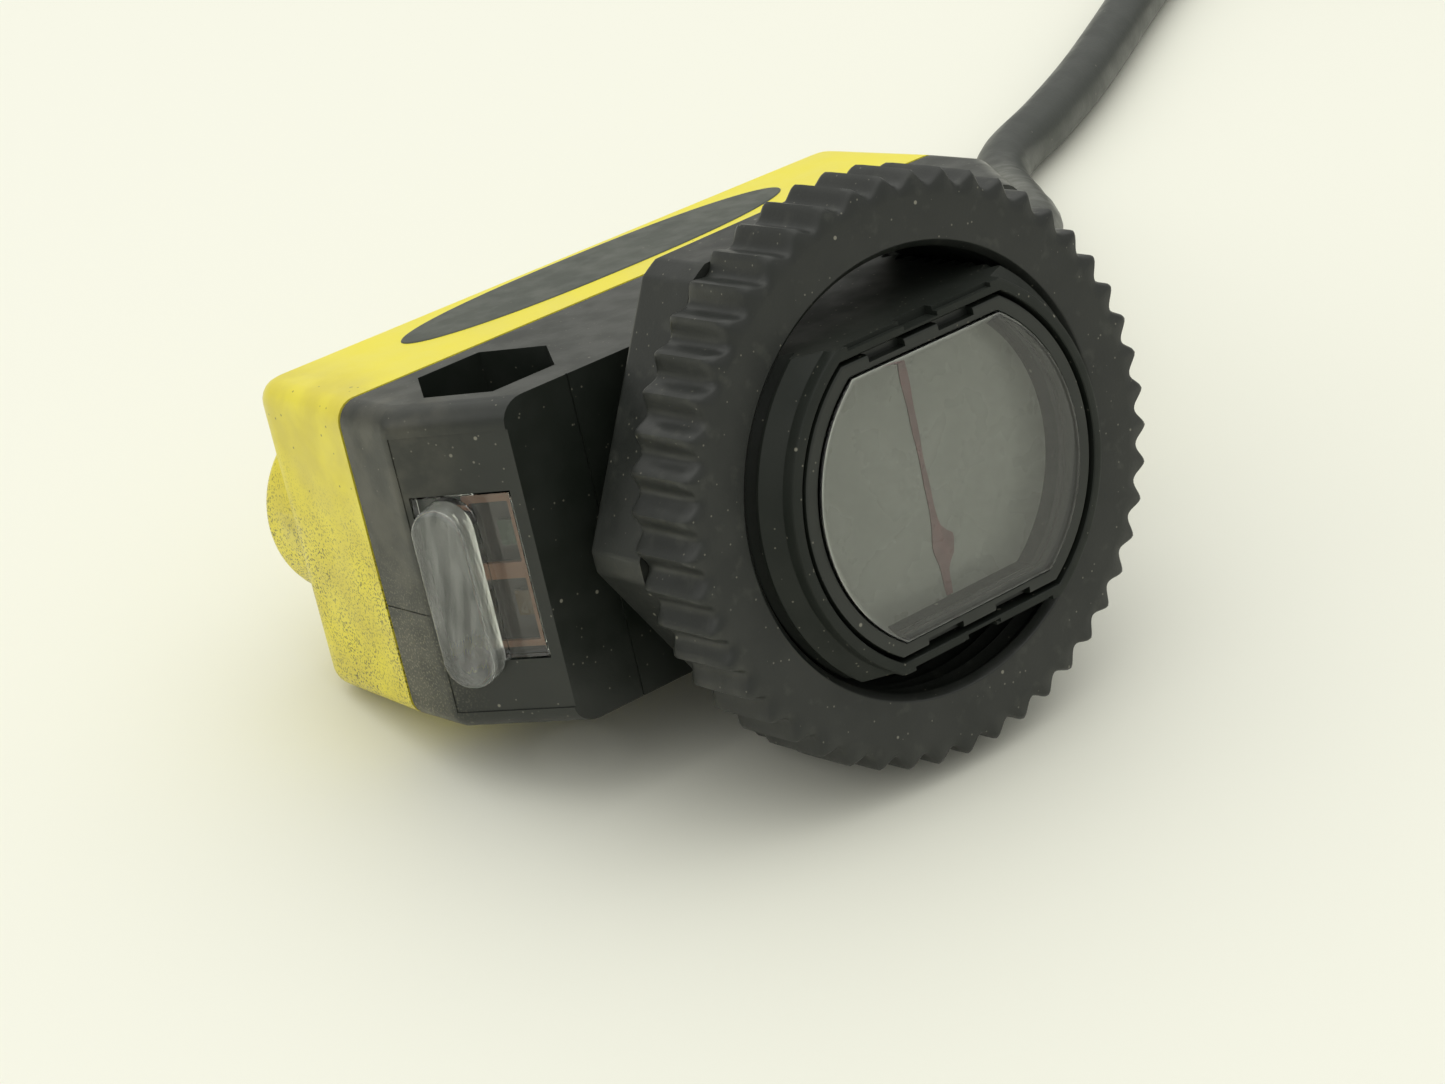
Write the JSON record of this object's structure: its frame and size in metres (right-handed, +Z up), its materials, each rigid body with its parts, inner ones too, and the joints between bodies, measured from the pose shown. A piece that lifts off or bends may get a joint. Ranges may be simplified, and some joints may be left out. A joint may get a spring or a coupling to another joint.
{
  "type": "photoelectric sensor",
  "caption": "Block-shaped optical sensor with a threaded nose, clear oval lens, serrated mounting nut, light window, yellow rear cover and a short cable with a round threaded plug.",
  "frame": {"origin": "on the surface that the sensor lies on, under the middle of the sensor without its cable", "axes": "+Y along the housing towards the cable end, +X the way the lens looks (tipped 14 degrees up), +Z up"},
  "size_m": [0.098, 0.2219, 0.0413],
  "materials": {
    "housing_black": "satin black, slightly dusty",
    "cover_yellow": "bright yellow, smooth, speckled with dirt",
    "seal_rubber": "matte",
    "nut_black": "satin, fine dust in the serrations",
    "clear_lens": "clear moulded plastic",
    "filter_film": "grey-green film",
    "board_green": "solder mask",
    "diode_resin": "clear pink-grey resin",
    "diode_green": "resin",
    "diode_amber": "resin",
    "chip_black": "moulded epoxy",
    "frame_copper": "copper-brown",
    "flex_amber": "flexible film",
    "plated_metal": "nickel-plated",
    "gold_contact": "gold-plated",
    "trimmer_blue": "smooth",
    "adjuster_white": "smooth",
    "boot_rubber": "matte black",
    "core_brown": "smooth insulation",
    "core_blue": "smooth insulation",
    "core_black": "smooth insulation",
    "core_white": "smooth insulation",
    "cable_jacket": "satin grey-black jacket",
    "insert_black": "moulded"
  },
  "bodies": {
    "sensor": {"front_housing": "housing_black", "rear_cover": "cover_yellow", "housing_seal": "seal_rubber", "lens_bezel": "housing_black", "front_lens": "clear_lens", "lens_seal": "seal_rubber", "emitter_polarizer": "filter_film", "receiver_polarizer": "filter_film", "optics_holder": "housing_black", "emitter_objective": "clear_lens", "receiver_objective": "clear_lens", "optics_board": "board_green", "emitter_led": "diode_resin", "receiver_photodiode": "chip_black", "indicator_lens": "clear_lens", "indicator_frame": "frame_copper", "indicator_flex": "flex_amber", "power_led": "diode_green", "output_led": "diode_amber", "main_board": "board_green", "controller_chip": "chip_black", "amplifier_chip": "chip_black", "regulator_chip": "chip_black", "output_driver": "chip_black", "surge_capacitor": "chip_black", "board_link": "plated_metal", "gain_potentiometer": "trimmer_blue", "gain_seal": "seal_rubber", "mode_switch": "chip_black", "mode_seal": "seal_rubber", "cable_boot": "boot_rubber", "core_brown": "core_brown", "core_blue": "core_blue", "core_black": "core_black", "core_white": "core_white", "cable": "cable_jacket", "connector_grip": "boot_rubber", "connector_insert": "insert_black", "connector_pin_1": "gold_contact", "connector_pin_2": "gold_contact", "connector_pin_3": "gold_contact", "connector_pin_4": "gold_contact", "connector_pin_5": "gold_contact"},
    "mounting_nut": {"mounting_nut": "nut_black"},
    "gain_adjuster": {"gain_adjuster": "adjuster_white"},
    "mode_selector": {"mode_selector": "adjuster_white"},
    "connector_nut": {"connector_nut": "plated_metal"}
  },
  "joints": [
    {"name": "mounting_nut_turn", "type": "hinge", "parent": "sensor", "child": "mounting_nut", "pos_m": [0.01954, -0.00059, 0.02139], "axis": [0.9703, 0, 0.2419], "continuous": true},
    {"name": "gain_adjuster_turn", "type": "hinge", "parent": "sensor", "child": "gain_adjuster", "pos_m": [-0.02327, -0.01959, 0.01412], "axis": [-0.9703, 0, -0.2419], "range_deg": [-135, 135]},
    {"name": "mode_selector_turn", "type": "hinge", "parent": "sensor", "child": "mode_selector", "pos_m": [-0.02167, -0.01959, 0.00772], "axis": [-0.9703, 0, -0.2419], "range_deg": [0, 90]},
    {"name": "connector_nut_turn", "type": "hinge", "parent": "sensor", "child": "connector_nut", "pos_m": [-0.0686, 0.1541, 0.0081], "axis": [0.1961, 0.9806, 0], "continuous": true}
  ]
}
